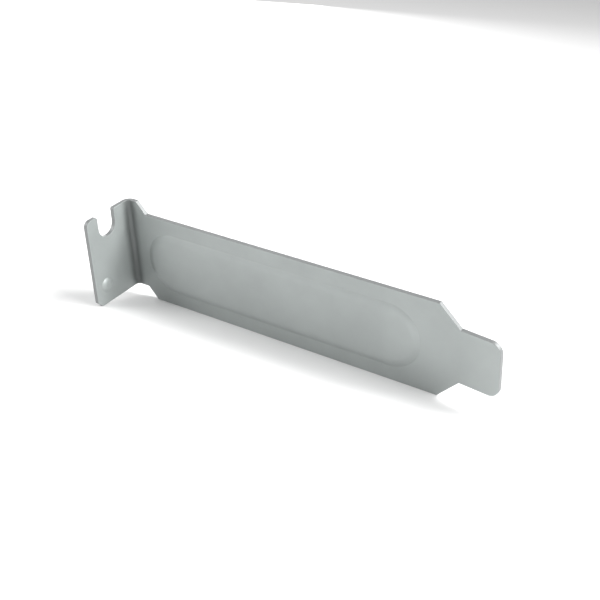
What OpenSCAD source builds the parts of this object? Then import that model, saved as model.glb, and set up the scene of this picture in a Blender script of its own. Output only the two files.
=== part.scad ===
// Expansion slot cover: one piece of sheet steel, blanked, embossed and folded.
// It is drawn flat, with X along the plate, Y across it and Z out of its front face,
// and is then stood on its long edge with the tab's lower corner on the ground.

/* [Sheet] */
// Thickness of the sheet
sheet_t = 0.86; // [0.7:0.02:1]
// Inside radius of the right-angle bend between the plate and the tab
bend_r = 0.8; // [0.5:0.1:1]

/* [Plate] */
// Length over all before the tongue is bent, from the tab's outer face to the tongue's tip
cover_l = 79.2; // [70:0.1:120]
// Width of the plate, and of the tab
cover_w = 18.42; // [17.4:0.02:20]

/* [Neck] */
// Height of the step by which the tab and its neck stand above the plate
neck_step = 2.35; // [1.5:0.05:3]
// Length of the neck's upper edge, from the tab's outer face
neck_top_l = 2.8; // [2.2:0.1:4]
// Length of the neck's lower edge, from the tab's outer face
neck_bottom_l = 3.5; // [2.2:0.1:4]
// Length along the plate of each slope between the neck and the plate
neck_slope_l = 2.1; // [1:0.1:3]

/* [Screw tab] */
// Distance that the tab stands out from the front face
tab_reach = 11.43; // [11:0.01:14]
// Radius of the tab's upper outer corner
tab_corner_r = 1.25; // [0.5:0.05:1.8]
// Size of the cut across the tab's lower outer corner
tab_corner_cut = 1.1; // [0.5:0.1:2]

/* [Screw notch] */
// Width of the notch for the fixing screw
notch_w = 4.42; // [3.6:0.02:4.6]
// Depth of the notch, from the tab's upper edge to the bottom of its half round
notch_depth = 4.8; // [3.6:0.1:6]
// Distance from the front face to the middle of the notch
notch_reach = 6.35; // [6:0.05:6.6]
// Radius of the two corners at the mouth of the notch
notch_mouth_r = 0.4; // [0.2:0.05:0.6]

/* [Dimple] */
// Diameter of the round dimple in the tab
dimple_d = 3.1; // [2.7:0.1:3.6]
// Height of the dimple above the tab's inner face
dimple_rise = 0.4; // [0.2:0.05:0.4]
// Width of the rounded slope around the dimple's small flat top
dimple_ramp = 1.2; // [1.2:0.05:1.3]
// Distance from the front face to the middle of the dimple
dimple_reach = 8.55; // [6:0.05:9]
// Distance from the tab's lower edge to the middle of the dimple
dimple_height = 3.9; // [3.4:0.1:6]

/* [Raised panel] */
// Width of the panel, across the foot of its rounded sides
panel_w = 12.85; // [10:0.05:15]
// Distance from the tab's outer face to the near end of the panel
panel_start = 4.75; // [4:0.05:8]
// Distance from the far end of the panel to the tongue's fold
panel_gap = 7.2; // [5:0.1:12]
// Height of the panel above the front face
panel_rise = 0.45; // [0.2:0.05:0.6]
// Width of the rounded slope at the panel's edge
panel_ramp = 1.8; // [1.6:0.1:2.6]

/* [Tongue] */
// Length of the tongue, from its fold to its tip
tongue_l = 7.5; // [5:0.1:10]
// Width cut away at 45 degrees on each side of the tongue
shoulder = 3.98; // [3:0.02:5]
// Radius of the two corners at the tongue's tip
tongue_corner_r = 2; // [0.5:0.1:3]
// Angle by which the tongue is bent towards the tab's side
tongue_angle = 6.2; // [3:0.2:12]
// Inside radius of the tongue's fold
fold_r = 1; // [0.5:0.1:2]

/* [Hidden] */
$fn = 96;

// Radius of the crease around the panel and the dimple, on the side that stands out
crease_r = 0.3;
// How far a cutting tool runs past the face that it cuts
past = 1;
// How far the flat rim of a pressed piece laps into the sheet around it
lap = 0.3;

// Where the flat part of the plate and of the tab start, beyond the bend
flat_start = sheet_t + bend_r;
// Where the tongue's fold starts, and the tongue's width
fold_x = cover_l - tongue_l;
tongue_w = cover_w - 2 * shoulder;
// Height of the tab's upper edge, and where its outer edge is
tab_top = cover_w + neck_step;
tab_end = sheet_t + tab_reach;
// Length of the straight part of the panel, between its half-round ends
panel_straight = fold_x - panel_gap - panel_start - panel_w;

// The lean that puts the plate's long edge and the tab's lower corner on the ground together
lean = atan(neck_step / (tab_reach - tab_corner_cut));
// Where the part ends along X, in front and behind, once it is folded and stood up
tip_x = fold_x + tongue_l * cos(tongue_angle) + (fold_r + sheet_t) * sin(tongue_angle);
front_y = (tab_reach - tab_corner_r) * cos(lean) + (tab_top - tab_corner_r) * sin(lean) + tab_corner_r;
back_y = sheet_t * cos(lean);

// A square corner piece with its round side turned inwards, to round off a corner at the origin
module corner_waste(r) {
    difference() {
        translate([-past, -past]) square(r + past);
        translate([r, r]) circle(r);
    }
}

// Half of the section through sheet that is pushed up by rise. It is flat in the middle, and a
// slope of width ramp_w brings it back to the sheet at half_w: a round shoulder, then the crease.
// A flat rim beyond the crease laps into the sheet around it.
module pressed_half_section(half_w, ramp_w, rise) {
    both_r = (ramp_w * ramp_w + rise * rise) / (2 * rise);
    shoulder_r = both_r - crease_r;
    difference() {
        pressed_face(half_w, ramp_w, rise, sheet_t, shoulder_r, crease_r);
        pressed_face(half_w, ramp_w, rise, 0, shoulder_r - sheet_t, crease_r + sheet_t);
    }
}

// Everything between one face of the pressed sheet and the plane of the flat sheet's back.
// Level is the height of that face where the sheet is flat.
module pressed_face(half_w, ramp_w, rise, level, shoulder_r, foot_r) {
    top_w = half_w - ramp_w;
    turn_x = half_w - foot_r * ramp_w / (shoulder_r + foot_r);
    square([top_w, level + rise]);
    intersection() {
        translate([top_w, level + rise - shoulder_r]) circle(shoulder_r);
        translate([top_w, 0]) square([turn_x - top_w, level + rise]);
    }
    difference() {
        translate([turn_x, 0]) square([half_w + lap - turn_x, level + foot_r]);
        translate([half_w, level + foot_r]) circle(foot_r);
        translate([half_w, level]) square([lap + past, foot_r + past]);
    }
}

// The outline that the panel takes out of the flat plate
module panel_outline() {
    translate([0, -panel_w / 2]) square([panel_straight, panel_w]);
    for (x = [0, panel_straight]) translate([x, 0]) circle(d = panel_w);
}

// The panel itself: a straight length of the pressed section between two half turns of it
module panel() {
    rotate([90, 0, 90]) linear_extrude(panel_straight)
        for (side = [0, 1]) mirror([side, 0])
            pressed_half_section(panel_w / 2, panel_ramp, panel_rise);
    for (end = [0, 1]) translate([end * panel_straight, 0, 0]) rotate([0, 0, 90 - 180 * end])
        rotate_extrude(angle = 180) pressed_half_section(panel_w / 2, panel_ramp, panel_rise);
}

// The plate from the bend to the tongue's fold, with the neck's step and the shoulders
module plate_outline() {
    polygon([
        [flat_start, neck_step],
        [neck_bottom_l, neck_step],
        [neck_bottom_l + neck_slope_l, 0],
        [fold_x - shoulder, 0],
        [fold_x, shoulder],
        [fold_x, cover_w - shoulder],
        [fold_x - shoulder, cover_w],
        [neck_top_l + neck_slope_l, cover_w],
        [neck_top_l, tab_top],
        [flat_start, tab_top]
    ]);
}

module plate() {
    panel_at = [panel_start + panel_w / 2, cover_w / 2, 0];
    linear_extrude(sheet_t) difference() {
        plate_outline();
        translate(panel_at) panel_outline();
    }
    translate(panel_at) panel();
}

// The right-angle bend, from the plate's end up to the foot of the tab
module tab_bend() {
    translate([flat_start, neck_step, flat_start])
        rotate([-90, 0, 0]) rotate([0, 0, 90]) rotate_extrude(angle = 90)
            translate([bend_r, 0]) square([sheet_t, cover_w]);
}

// The tab seen from its inner side: across is the distance from the plate's back face
module tab_outline() {
    notch_r = notch_w / 2;
    notch_across = sheet_t + notch_reach;
    difference() {
        translate([flat_start, neck_step]) square([tab_end - flat_start, cover_w]);
        translate([tab_end, tab_top]) rotate(180) corner_waste(tab_corner_r);
        translate([tab_end, neck_step]) rotate(45)
            square([2 * tab_corner_cut, sqrt(2) * tab_corner_cut], center = true);
        translate([notch_across, tab_top - notch_depth + notch_r]) {
            circle(notch_r);
            translate([-notch_r, 0]) square([notch_w, notch_depth]);
        }
        translate([notch_across - notch_r, tab_top]) rotate(180) corner_waste(notch_mouth_r);
        translate([notch_across + notch_r, tab_top]) rotate(-90) corner_waste(notch_mouth_r);
        translate([sheet_t + dimple_reach, neck_step + dimple_height]) circle(d = dimple_d);
    }
}

// The tab stands up from the plate's end, with its dimple pushed out on the inner side
module tab() {
    translate([sheet_t, 0, 0]) rotate([0, -90, 0]) linear_extrude(sheet_t) tab_outline();
    translate([0, neck_step + dimple_height, sheet_t + dimple_reach]) rotate([0, 90, 0])
        rotate_extrude() pressed_half_section(dimple_d / 2, dimple_ramp, dimple_rise);
}

// The tongue laid flat, from its fold at the origin to its tip
module tongue_outline() {
    difference() {
        translate([0, -tongue_w / 2]) square([tongue_l, tongue_w]);
        for (side = [0, 1]) mirror([0, side]) translate([tongue_l, tongue_w / 2])
            rotate(180) corner_waste(tongue_corner_r);
    }
}

// Section along the tongue's fold, with the middle of the fold at the origin
module fold_section() {
    reach = fold_r + sheet_t + past;
    intersection() {
        difference() {
            circle(fold_r + sheet_t);
            circle(fold_r);
        }
        translate([0, -reach]) square(reach);
        rotate(tongue_angle) translate([-reach, -reach]) square(reach);
    }
}

module tongue() {
    translate([fold_x, cover_w / 2, sheet_t + fold_r]) {
        translate([0, tongue_w / 2, 0]) rotate([90, 0, 0])
            linear_extrude(tongue_w) fold_section();
        rotate([0, -tongue_angle, 0]) translate([0, 0, -sheet_t - fold_r])
            linear_extrude(sheet_t) tongue_outline();
    }
}

module slot_cover() {
    color([0.74, 0.77, 0.76])
        translate([-tip_x / 2, (front_y - back_y) / 2, 0])
            rotate([90 + lean, 0, 0]) translate([0, 0, -sheet_t]) {
                plate();
                tab_bend();
                tab();
                tongue();
            }
}

slot_cover();
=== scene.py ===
import math

import bmesh
import bpy
from mathutils import Euler, Matrix, Vector


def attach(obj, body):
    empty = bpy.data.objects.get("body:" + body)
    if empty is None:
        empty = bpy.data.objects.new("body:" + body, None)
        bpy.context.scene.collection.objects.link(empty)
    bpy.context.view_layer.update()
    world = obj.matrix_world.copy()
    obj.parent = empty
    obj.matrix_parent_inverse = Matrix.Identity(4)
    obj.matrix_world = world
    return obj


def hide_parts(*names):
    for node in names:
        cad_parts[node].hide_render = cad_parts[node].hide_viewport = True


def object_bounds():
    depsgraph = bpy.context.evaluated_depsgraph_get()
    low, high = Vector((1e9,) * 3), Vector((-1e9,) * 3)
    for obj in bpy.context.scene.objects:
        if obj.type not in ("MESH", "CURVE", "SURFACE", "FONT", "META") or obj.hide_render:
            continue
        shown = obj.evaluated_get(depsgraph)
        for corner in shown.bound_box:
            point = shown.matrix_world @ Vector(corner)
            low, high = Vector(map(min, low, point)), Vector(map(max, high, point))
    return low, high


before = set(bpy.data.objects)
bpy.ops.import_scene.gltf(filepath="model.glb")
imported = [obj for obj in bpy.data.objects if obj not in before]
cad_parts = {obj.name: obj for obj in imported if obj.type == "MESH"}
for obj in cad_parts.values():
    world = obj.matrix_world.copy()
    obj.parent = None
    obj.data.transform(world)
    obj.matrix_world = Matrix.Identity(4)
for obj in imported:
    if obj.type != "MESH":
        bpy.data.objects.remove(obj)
cad_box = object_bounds()


# ---- Plate and neck ----
# The cover is blanked from cold-rolled steel sheet and pressed and folded cold, all in one piece.
# It is drawn here as the sheet's front face: X runs along the plate from the tab's outer face,
# Y across it and Z out of it. The neck carries the tab one step higher than the plate.
MM = 0.001
SHEET = 0.86 * MM
COVER_L = 79.2 * MM
COVER_W = 18.42 * MM
BEND_R = 0.8 * MM
NECK_STEP = 2.35 * MM
NECK_TOP = 2.8 * MM
NECK_BOTTOM = 3.5 * MM
NECK_SLOPE = 2.1 * MM
SHOULDER = 3.98 * MM
TONGUE_L = 7.5 * MM

bend_end = SHEET + BEND_R
fold_x = COVER_L - TONGUE_L
tongue_w = COVER_W - 2 * SHOULDER
tab_top = COVER_W + NECK_STEP
plate_start = NECK_TOP + NECK_SLOPE
plate_end = fold_x - SHOULDER


def near(a, b):
    return abs(a - b) < 0.002 * MM


def pick(kind, test, open_only=False):
    """Selects the points, edges or faces in edit mode that have all their points where test says, and
    nothing else. With open_only it takes only the edges that lack a face on one side at least."""
    bpy.ops.mesh.select_mode(type=kind)
    bpy.ops.mesh.select_all(action="DESELECT")
    mesh = bmesh.from_edit_mesh(bpy.context.edit_object.data)
    for part in {"VERT": mesh.verts, "EDGE": mesh.edges, "FACE": mesh.faces}[kind]:
        corners = [part] if kind == "VERT" else part.verts
        if open_only and len(part.link_faces) > 1:
            continue
        if all(test(corner.co) for corner in corners):
            part.select_set(True)
    bmesh.update_edit_mesh(bpy.context.edit_object.data)


def move(x=0, y=0, z=0):
    bpy.ops.transform.translate(value=(x, y, z))


def extrude(x=0, y=0, z=0):
    bpy.ops.mesh.extrude_region_move(TRANSFORM_OT_translate={"value": (x, y, z)})


bpy.ops.object.select_all(action="DESELECT")
bpy.ops.mesh.primitive_plane_add(size=1, location=((plate_start + plate_end) / 2, COVER_W / 2, SHEET))
cover = bpy.context.object
cover.name = "slot_cover_sheet"
cover.scale = (plate_end - plate_start, COVER_W, 1)
bpy.ops.object.transform_apply()
bpy.ops.object.mode_set(mode="EDIT")
pick("VERT", lambda p: near(p.x, plate_start) and near(p.y, 0))
move(x=NECK_BOTTOM - NECK_TOP)
pick("EDGE", lambda p: p.x < plate_end / 2)
extrude(x=-NECK_SLOPE, y=NECK_STEP)
extrude(x=bend_end - NECK_TOP)
pick("VERT", lambda p: p.x < NECK_TOP - 0.1 * MM and near(p.y, NECK_STEP))
move(x=NECK_TOP - NECK_BOTTOM)
pick("EDGE", lambda p: near(p.x, plate_end))
extrude(x=SHOULDER)
bpy.ops.transform.resize(value=(1, tongue_w / COVER_W, 1))


# ---- Raised panel ----
# A stiffening panel with half-round ends is pressed out of the plate towards the front. A rounded
# slope leads up to its flat top, with a crease at the foot, where the die held the sheet.
PANEL_W = 12.85 * MM
PANEL_START = 4.75 * MM
PANEL_GAP = 7.2 * MM
PANEL_RISE = 0.45 * MM
PANEL_RAMP = 1.8 * MM
CREASE_R = 0.3 * MM
PRESS_RIM = 0.3 * MM


def press_up(ramp, rise, crease_steps=4, shoulder_steps=12):
    """Presses up the selected face: a flat rim, then a crease, then a round shoulder to the flat top."""
    shoulder_r = (ramp * ramp + rise * rise) / (2 * rise) - CREASE_R
    steepest = math.asin(ramp / (shoulder_r + CREASE_R))
    profile = [(0, 0)]
    for step in range(1, crease_steps + 1):
        slope = steepest * step / crease_steps
        profile.append((CREASE_R * math.sin(slope), CREASE_R * (1 - math.cos(slope))))
    for step in range(1, shoulder_steps + 1):
        slope = steepest * (1 - step / shoulder_steps)
        profile.append((ramp - shoulder_r * math.sin(slope), rise - shoulder_r * (1 - math.cos(slope))))
    bpy.ops.mesh.inset(thickness=PRESS_RIM, depth=0)
    for (x, z), (next_x, next_z) in zip(profile, profile[1:]):
        bpy.ops.mesh.inset(thickness=next_x - x, depth=next_z - z)


def close_flat(test):
    """Fills the flat sheet between the open edges where test says: an outline and a hole in it."""
    pick("EDGE", test, open_only=True)
    bpy.ops.mesh.fill(use_beauty=True)


def on_plate(p):
    return NECK_TOP - 0.1 * MM < p.x < plate_end + 0.1 * MM and near(p.z, SHEET)


PANEL_POINTS = 96
panel_straight = fold_x - PANEL_GAP - PANEL_START - PANEL_W
panel_turn = (PANEL_START + PANEL_W / 2, COVER_W / 2)
pick("EDGE", lambda p: plate_start - 0.1 * MM < p.x < plate_end / 2)
bpy.ops.mesh.delete(type="EDGE")
bpy.ops.mesh.primitive_circle_add(
    vertices=PANEL_POINTS, radius=PANEL_W / 2 + PRESS_RIM, fill_type="NGON",
    location=(*panel_turn, SHEET), rotation=(0, 0, math.pi / PANEL_POINTS))
panel_reach = PANEL_W / 2 + 2 * PRESS_RIM
pick("VERT", lambda p: panel_turn[0] < p.x < panel_turn[0] + panel_reach and 0.1 * MM < p.y < COVER_W - 0.1 * MM)
move(x=panel_straight)
pick("FACE", lambda p: on_plate(p) and 0.1 * MM < p.y < COVER_W - 0.1 * MM)
press_up(PANEL_RAMP, PANEL_RISE)
close_flat(on_plate)


# ---- Bend and screw tab ----
# The sheet turns up through a right angle over a small radius, so that the tab stands out in front.
# A fixing screw goes through the tab's open notch, and one lower corner is cut off.
BEND_STEPS = 16
TAB_REACH = 11.43 * MM
TAB_CORNER_R = 1.25 * MM
TAB_CORNER_CUT = 1.1 * MM
NOTCH_W = 4.42 * MM
NOTCH_DEPTH = 4.8 * MM
NOTCH_REACH = 6.35 * MM
NOTCH_MOUTH_R = 0.4 * MM

tab_end = SHEET + TAB_REACH
notch_z = SHEET + NOTCH_REACH
notch_r = NOTCH_W / 2
notch_turn_y = tab_top - NOTCH_DEPTH + notch_r


def on_tab(p):
    return near(p.x, SHEET) and p.z > bend_end - 0.1 * MM


def round_corner(y, z, size, segments):
    """Rounds the tab's corner at that height and reach, or cuts it straight where segments is 1."""
    pick("VERT", lambda p: on_tab(p) and near(p.y, y) and near(p.z, z))
    bpy.ops.mesh.bevel(offset=size, segments=segments, affect="VERTICES")


pick("EDGE", lambda p: near(p.x, bend_end))
bpy.ops.mesh.spin(steps=BEND_STEPS, angle=-math.pi / 2, center=(bend_end, 0, bend_end), axis=(0, 1, 0))
extrude(z=tab_end - bend_end)

pick("FACE", on_tab)
bpy.ops.mesh.delete(type="ONLY_FACE")
pick("EDGE", lambda p: on_tab(p) and near(p.y, tab_top))
bpy.ops.mesh.subdivide(number_cuts=2)
for side in (-1, 1):
    cut_z = (bend_end + tab_end) / 2 + side * (tab_end - bend_end) / 6
    pick("VERT", lambda p: on_tab(p) and near(p.y, tab_top) and near(p.z, cut_z))
    move(z=notch_z + side * notch_r - cut_z)
pick("EDGE", lambda p: on_tab(p) and near(p.y, tab_top) and abs(p.z - notch_z) < notch_r + 0.1 * MM)
bpy.ops.mesh.delete(type="EDGE")
pick("VERT", lambda p: on_tab(p) and near(p.y, tab_top) and abs(p.z - notch_z) < notch_r + 0.1 * MM)
extrude(y=notch_r - NOTCH_DEPTH)
pick("VERT", lambda p: on_tab(p) and near(p.y, notch_turn_y) and near(p.z, notch_z - notch_r))
bpy.ops.mesh.spin(steps=32, angle=math.pi, center=(SHEET, notch_turn_y, notch_z), axis=(1, 0, 0))
bpy.ops.mesh.select_all(action="SELECT")
bpy.ops.mesh.remove_doubles(threshold=0.001 * MM)
round_corner(tab_top, notch_z - notch_r, NOTCH_MOUTH_R, 6)
round_corner(tab_top, notch_z + notch_r, NOTCH_MOUTH_R, 6)
round_corner(tab_top, tab_end, TAB_CORNER_R, 10)
round_corner(NECK_STEP, tab_end, TAB_CORNER_CUT, 1)


# ---- Dimple ----
# A small round dimple is pushed through from the tab's outer side. It holds the tab off the ledge
# that it is screwed to, and keeps it from rocking.
DIMPLE_D = 3.1 * MM
DIMPLE_RISE = 0.4 * MM
DIMPLE_RAMP = 1.2 * MM
DIMPLE_REACH = 8.55 * MM
DIMPLE_HEIGHT = 3.9 * MM

dimple_at = Vector((SHEET, NECK_STEP + DIMPLE_HEIGHT, SHEET + DIMPLE_REACH))
bpy.ops.mesh.primitive_circle_add(
    vertices=48, radius=DIMPLE_D / 2 + PRESS_RIM, fill_type="NGON",
    location=dimple_at, rotation=(0, math.pi / 2, 0))
pick("FACE", on_tab)
press_up(DIMPLE_RAMP, DIMPLE_RISE)
close_flat(on_tab)


# ---- Tongue ----
# The narrow end of the sheet is bent slightly forward, so that it slides behind the edge of the
# case and is held there when the tab is screwed down. Its two corners are rounded.
TONGUE_ANGLE = math.radians(6.2)
TONGUE_CORNER_R = 2 * MM
FOLD_R = 1 * MM
FOLD_STEPS = 4

tongue_tip_x = fold_x + FOLD_R * math.sin(TONGUE_ANGLE) + TONGUE_L * math.cos(TONGUE_ANGLE)
pick("EDGE", lambda p: near(p.x, fold_x))
bpy.ops.mesh.spin(steps=FOLD_STEPS, angle=TONGUE_ANGLE, center=(fold_x, 0, SHEET + FOLD_R), axis=(0, 1, 0))
extrude(x=TONGUE_L * math.cos(TONGUE_ANGLE), z=TONGUE_L * math.sin(TONGUE_ANGLE))
pick("VERT", lambda p: near(p.x, tongue_tip_x))
bpy.ops.mesh.bevel(offset=TONGUE_CORNER_R, segments=12, affect="VERTICES")


# ---- Thickness and sheared edges ----
# The sheet is the same thickness all over. The press tool leaves its cut edges square, and the
# plating that covers them rounds their corners a little.
EDGE_R = 0.07 * MM

bpy.ops.mesh.select_all(action="SELECT")
bpy.ops.mesh.remove_doubles(threshold=0.001 * MM)
bpy.ops.mesh.dissolve_limited(angle_limit=math.radians(0.5))
bpy.ops.mesh.normals_make_consistent(inside=False)
sheet_mesh = bmesh.from_edit_mesh(cover.data)
if sum(face.normal.z * face.calc_area() for face in sheet_mesh.faces) < 0:
    bpy.ops.mesh.flip_normals()
bpy.ops.object.mode_set(mode="OBJECT")
bpy.ops.object.shade_smooth()

cover.data.materials.append(None)
cover.data.materials.append(None)
thickness = cover.modifiers.new("thickness", "SOLIDIFY")
thickness.thickness = SHEET
thickness.offset = -1
thickness.use_even_offset = True
thickness.material_offset_rim = 1
rounding = cover.modifiers.new("rounding", "BEVEL")
rounding.width = EDGE_R
rounding.segments = 3
rounding.limit_method = "ANGLE"
rounding.angle_limit = math.radians(30)
rounding.use_clamp_overlap = False
rounding.harden_normals = True
for modifier in ("thickness", "rounding"):
    bpy.ops.object.modifier_apply(modifier=modifier)


# ---- Finish ----
# Zinc is plated over the steel and left satin, a pale grey with a faint green cast. Inside the bend its
# colour is darkened as painted shade, and it has the rolling grain of the sheet and small stains.
def rough_nodes(nodes, links, coordinates, scale, detail, low, high):
    """Noise of that scale, brought to the values low to high."""
    noise = nodes.new("ShaderNodeTexNoise")
    noise.inputs["Scale"].default_value = scale
    noise.inputs["Detail"].default_value = detail
    links.new(coordinates, noise.inputs["Vector"])
    spread = nodes.new("ShaderNodeMapRange")
    spread.inputs["From Min"].default_value = 0.3
    spread.inputs["From Max"].default_value = 0.7
    spread.inputs["To Min"].default_value = low
    spread.inputs["To Max"].default_value = high
    links.new(noise.outputs["Fac"], spread.inputs["Value"])
    return spread.outputs["Result"]


def plating(name, colour, roughness, grain, painted_bend_shade):
    """Zinc plating: stains in its colour, uneven gloss, grain drawn out along the sheet, and where asked painted
    shade inside the bend.
    """
    material = bpy.data.materials.new(name)
    material.use_nodes = True
    nodes = material.node_tree.nodes
    links = material.node_tree.links
    shader = nodes["Principled BSDF"]
    shader.inputs["Metallic"].default_value = METALLIC

    place = nodes.new("ShaderNodeTexCoord").outputs["Object"]
    on_sheet = nodes.new("ShaderNodeMapping")
    on_sheet.vector_type = "TEXTURE"
    on_sheet.inputs["Location"].default_value = sheet_place
    on_sheet.inputs["Rotation"].default_value = sheet_turn
    links.new(place, on_sheet.inputs["Vector"])

    stains = rough_nodes(nodes, links, place, 90, 4, 0.95, 1.05)
    shade = nodes.new("ShaderNodeMath")
    shade.operation = "MULTIPLY"
    links.new(stains, shade.inputs[0])
    # Painted shade: the colour darkens towards the inside corner of the bend, standing in for the shade that
    # falls there.
    if painted_bend_shade:
        from_bend = nodes.new("ShaderNodeVectorMath")
        from_bend.operation = "MULTIPLY"
        from_bend.inputs[1].default_value = (1, 0, 1)
        links.new(on_sheet.outputs["Vector"], from_bend.inputs[0])
        distance = nodes.new("ShaderNodeVectorMath")
        distance.operation = "DISTANCE"
        distance.inputs[1].default_value = (SHEET, 0, SHEET)
        links.new(from_bend.outputs["Vector"], distance.inputs[0])
        painted_bend_darkening = nodes.new("ShaderNodeMapRange")
        painted_bend_darkening.interpolation_type = "SMOOTHSTEP"
        painted_bend_darkening.inputs["From Min"].default_value = BEND_SHADE_FROM
        painted_bend_darkening.inputs["From Max"].default_value = BEND_SHADE_TO
        painted_bend_darkening.inputs["To Min"].default_value = BEND_SHADE_DARKEST
        painted_bend_darkening.inputs["To Max"].default_value = 1
        links.new(distance.outputs["Value"], painted_bend_darkening.inputs["Value"])
        links.new(painted_bend_darkening.outputs["Result"], shade.inputs[1])
    else:
        shade.inputs[1].default_value = 1
    tint = nodes.new("ShaderNodeVectorMath")
    tint.operation = "SCALE"
    tint.inputs[0].default_value = colour
    links.new(shade.outputs["Value"], tint.inputs["Scale"])
    links.new(tint.outputs["Vector"], shader.inputs["Base Color"])

    links.new(rough_nodes(nodes, links, place, 500, 3, roughness - 0.04, roughness + 0.04),
              shader.inputs["Roughness"])

    drawn_out = nodes.new("ShaderNodeMapping")
    drawn_out.inputs["Scale"].default_value = (0.25, 1, 1)
    links.new(on_sheet.outputs["Vector"], drawn_out.inputs["Vector"])
    height = rough_nodes(nodes, links, drawn_out.outputs["Vector"], 2500, 3, 0, 1)
    bump = nodes.new("ShaderNodeBump")
    bump.inputs["Distance"].default_value = grain
    bump.inputs["Strength"].default_value = 1
    links.new(height, bump.inputs["Height"])
    links.new(bump.outputs["Normal"], shader.inputs["Normal"])
    return material


METALLIC = 0.41
ZINC = (0.322, 0.345, 0.34)
SHEARED = (0.215, 0.224, 0.224)
# Painted shade inside the bend: darkest, at the given fraction of the colour, at the first distance from the
# inner corner, and gone by the second.
BEND_SHADE_FROM = 0.3 * MM
BEND_SHADE_TO = 2.4 * MM
BEND_SHADE_DARKEST = 0.42

lean = math.atan(NECK_STEP / (TAB_REACH - TAB_CORNER_CUT))
sheet_turn = (math.pi / 2 + lean, 0, 0)
foot = Vector((0, 0, SHEET))
foot.rotate(Euler(sheet_turn))
cad_low, cad_high = cad_box
sheet_place = Vector((cad_low.x, cad_high.y - SHEET * math.cos(lean), 0)) - foot

cover.data.materials[0] = plating("satin_zinc_plating", ZINC, 0.5, 0.004 * MM, True)
cover.data.materials[1] = plating("plated_sheared_edge", SHEARED, 0.46, 0.006 * MM, False)


# ---- How it stands ----
# The cover rests on the plate's long front edge and on the cut corner of the tab, so it leans
# forward by the angle between the two.
cover.rotation_euler = sheet_turn
cover.location = sheet_place
bpy.ops.object.transform_apply()
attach(cover, "root")
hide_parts("slot_cover")


# ---- Studio ----
# A white floor, a plain pale world and five soft boxes: two on the right, where the light is strongest,
# and three on the left that are low and weaker.
def soft_box(name, size, power, azimuth, elevation, distance):
    lamp = bpy.data.lights.new(name, "AREA")
    lamp.shape = "RECTANGLE"
    lamp.size, lamp.size_y = size
    lamp.energy = power
    turn = Matrix.Rotation(azimuth, 4, "Z") @ Matrix.Rotation(math.pi / 2 - elevation, 4, "X")
    holder = bpy.data.objects.new(name, lamp)
    holder.matrix_world = turn @ Matrix.Translation((0, 0, distance))
    bpy.context.scene.collection.objects.link(holder)


BOX_SIZE = 0.28
BOX_DISTANCE = 0.6
WORLD_STRENGTH = 0.57

for name, power, azimuth, elevation in (
        ("right", 3.0, 90, 28), ("high_back_right", 3.9, 120, 50),
        ("front_left", 1.41, -45, 28), ("left", 1.98, -90, 8), ("back_left", 1.29, -135, 8)):
    soft_box(name, (BOX_SIZE, BOX_SIZE), power, math.radians(azimuth), math.radians(elevation), BOX_DISTANCE)

world = bpy.data.worlds.new("studio")
world.use_nodes = True
world.node_tree.nodes["Background"].inputs["Color"].default_value = (1, 1, 1, 1)
world.node_tree.nodes["Background"].inputs["Strength"].default_value = WORLD_STRENGTH
bpy.context.scene.world = world

bpy.ops.object.select_all(action="DESELECT")
bpy.ops.mesh.primitive_plane_add(size=4, location=(0, 0, 0))
floor = bpy.context.object
floor.name = "floor"
white = bpy.data.materials.new("white_sweep")
white.use_nodes = True
white.node_tree.nodes["Principled BSDF"].inputs["Base Color"].default_value = (0.8, 0.8, 0.8, 1)
white.node_tree.nodes["Principled BSDF"].inputs["Roughness"].default_value = 0.9
floor.data.materials.append(white)


# ---- Camera ----
VIEW_AZIMUTH = math.radians(31.89)
VIEW_ELEVATION = math.radians(20.8)
VIEW_ROLL = math.radians(5.29)
VIEW_DISTANCE = 187.9 * MM
VIEW_LENS = 65.43

cad_middle = (cad_low + cad_high) / 2
view_target = cad_middle + Vector((3.52, 0, 2.22)) * MM
turn = (Matrix.Rotation(VIEW_AZIMUTH, 4, "Z") @ Matrix.Rotation(math.pi / 2 - VIEW_ELEVATION, 4, "X")
        @ Matrix.Rotation(VIEW_ROLL, 4, "Z"))
camera = bpy.data.objects.new("camera", bpy.data.cameras.new("camera"))
camera.data.lens = VIEW_LENS
camera.matrix_world = Matrix.Translation(view_target) @ turn @ Matrix.Translation((0, 0, VIEW_DISTANCE))
camera.data.clip_start = 1 * MM
bpy.context.scene.collection.objects.link(camera)
bpy.context.scene.camera = camera
bpy.context.scene.view_settings.view_transform = "Standard"
